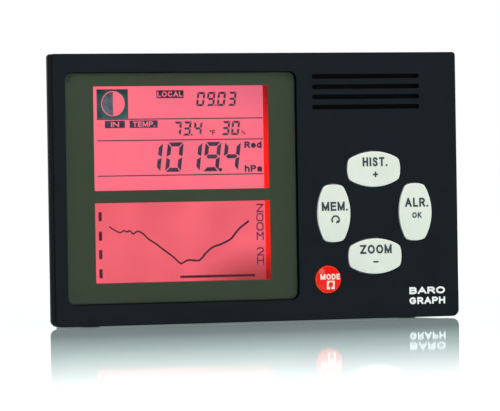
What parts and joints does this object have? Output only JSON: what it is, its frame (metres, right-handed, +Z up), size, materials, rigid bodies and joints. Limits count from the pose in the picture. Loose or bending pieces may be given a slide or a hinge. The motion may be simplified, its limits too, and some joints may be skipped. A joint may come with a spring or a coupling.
{
  "type": "digital barograph",
  "caption": "Free-standing electronic barograph: two backlit display windows behind one panel, a cross of keys, a round mode key, a fold-out stand and a battery bay.",
  "frame": {"origin": "middle of the bounding box, on the surface it stands on", "axes": "+Z up, the face with the windows and keys points along -Y, +X to the viewer's right"},
  "size_m": [0.178, 0.0332, 0.1107],
  "materials": {
    "case_black": "fine matte texture",
    "case_black_rear": "fine matte texture",
    "door_black": "fine matte texture",
    "stand_black": "fine matte texture",
    "mesh_cloth": "fine black weave",
    "lens_acrylic": "clear, polished",
    "mask_olive": "printed film behind a clear lens",
    "tape_black": "double-sided adhesive film",
    "frame_red": "translucent red moulding",
    "lcd_glass_upper": "polarised glass lit from behind",
    "lcd_glass_lower": "polarised glass lit from behind",
    "guide_upper": "lit diffuser",
    "guide_lower": "lit diffuser",
    "reflector_upper": "white film",
    "reflector_lower": "white film",
    "zebra_upper": "striped elastomer",
    "zebra_lower": "striped elastomer",
    "led_red": "clear red resin",
    "board_green": "solder mask on glass-fibre laminate",
    "screw_zinc_small": "zinc plated",
    "resin_black": "cast resin",
    "crystal_can": "plated can",
    "capacitor_sleeve": "shrink sleeve",
    "sensor_can": "metal can on a ceramic base",
    "sensor_body": "white moulding",
    "buzzer_black": "moulded",
    "connector_white": "nylon",
    "lead_red": "PVC insulation",
    "lead_black": "PVC insulation",
    "silicone_mat": "silicone",
    "screw_black": "black oxide",
    "foot_rubber": "soft rubber",
    "cell_1": "plain printed sleeve",
    "cell_2": "plain printed sleeve",
    "cell_3": "plain printed sleeve",
    "contact_plate": "nickel plated spring steel",
    "contact_spring": "nickel plated spring wire",
    "jack_black": "moulded",
    "jack_pin": "nickelled brass",
    "key_red": "polished",
    "key_white_history": "satin moulded",
    "key_white_zoom": "satin moulded",
    "key_white_memory": "satin moulded",
    "key_white_alarm": "satin moulded",
    "dome_history": "silicone",
    "dome_zoom": "silicone",
    "dome_memory": "silicone",
    "dome_alarm": "silicone",
    "dome_mode": "silicone"
  },
  "bodies": {
    "case": {"front_cover": "case_black", "rear_cover": "case_black_rear", "dust_mesh": "mesh_cloth", "display_lens": "lens_acrylic", "display_mask": "mask_olive", "lens_tape": "tape_black", "display_frame": "frame_red", "lcd_upper": "lcd_glass_upper", "lcd_lower": "lcd_glass_lower", "light_guide_upper": "guide_upper", "light_guide_lower": "guide_lower", "reflector_upper": "reflector_upper", "reflector_lower": "reflector_lower", "zebra_upper": "zebra_upper", "zebra_lower": "zebra_lower", "backlight_leds": "led_red", "main_board": "board_green", "board_screws": "screw_zinc_small", "controller_blob": "resin_black", "clock_crystal": "crystal_can", "capacitors": "capacitor_sleeve", "pressure_sensor": "sensor_can", "humidity_sensor": "sensor_body", "buzzer": "buzzer_black", "lead_connector": "connector_white", "battery_lead_plus": "lead_red", "battery_lead_minus": "lead_black", "keypad_mat": "silicone_mat", "case_screws": "screw_black", "rubber_feet": "foot_rubber", "battery_1": "cell_1", "battery_2": "cell_2", "battery_3": "cell_3", "battery_contacts": "contact_plate", "battery_springs": "contact_spring", "power_jack": "jack_black", "power_jack_pin": "jack_pin", "history_dome": "dome_history", "zoom_dome": "dome_zoom", "memory_dome": "dome_memory", "alarm_dome": "dome_alarm", "mode_dome": "dome_mode"},
    "history_key": {"history_key": "key_white_history"},
    "zoom_key": {"zoom_key": "key_white_zoom"},
    "memory_key": {"memory_key": "key_white_memory"},
    "alarm_key": {"alarm_key": "key_white_alarm"},
    "mode_key": {"mode_key": "key_red"},
    "stand": {"stand": "stand_black"},
    "battery_door": {"battery_door": "door_black"}
  },
  "joints": [
    {"name": "history_press", "type": "slide", "parent": "case", "child": "history_key", "axis": [0, 1, 0], "range_m": [0, 0.0009], "stiffness_N_per_m": 1500, "deforming": ["history_dome"]},
    {"name": "zoom_press", "type": "slide", "parent": "case", "child": "zoom_key", "axis": [0, 1, 0], "range_m": [0, 0.0009], "stiffness_N_per_m": 1500, "deforming": ["zoom_dome"]},
    {"name": "memory_press", "type": "slide", "parent": "case", "child": "memory_key", "axis": [0, 1, 0], "range_m": [0, 0.0009], "stiffness_N_per_m": 1500, "deforming": ["memory_dome"]},
    {"name": "alarm_press", "type": "slide", "parent": "case", "child": "alarm_key", "axis": [0, 1, 0], "range_m": [0, 0.0009], "stiffness_N_per_m": 1500, "deforming": ["alarm_dome"]},
    {"name": "mode_press", "type": "slide", "parent": "case", "child": "mode_key", "axis": [0, 1, 0], "range_m": [0, 0.0009], "stiffness_N_per_m": 1500, "deforming": ["mode_dome"]},
    {"name": "stand_fold", "type": "hinge", "parent": "case", "child": "stand", "pos_m": [0.036, 0.0138, 0.073], "axis": [1, 0, 0], "range_deg": [0, 60]},
    {"name": "battery_door_lift", "type": "slide", "parent": "case", "child": "battery_door", "axis": [0, 1, 0], "range_m": [0, 0.03]}
  ]
}
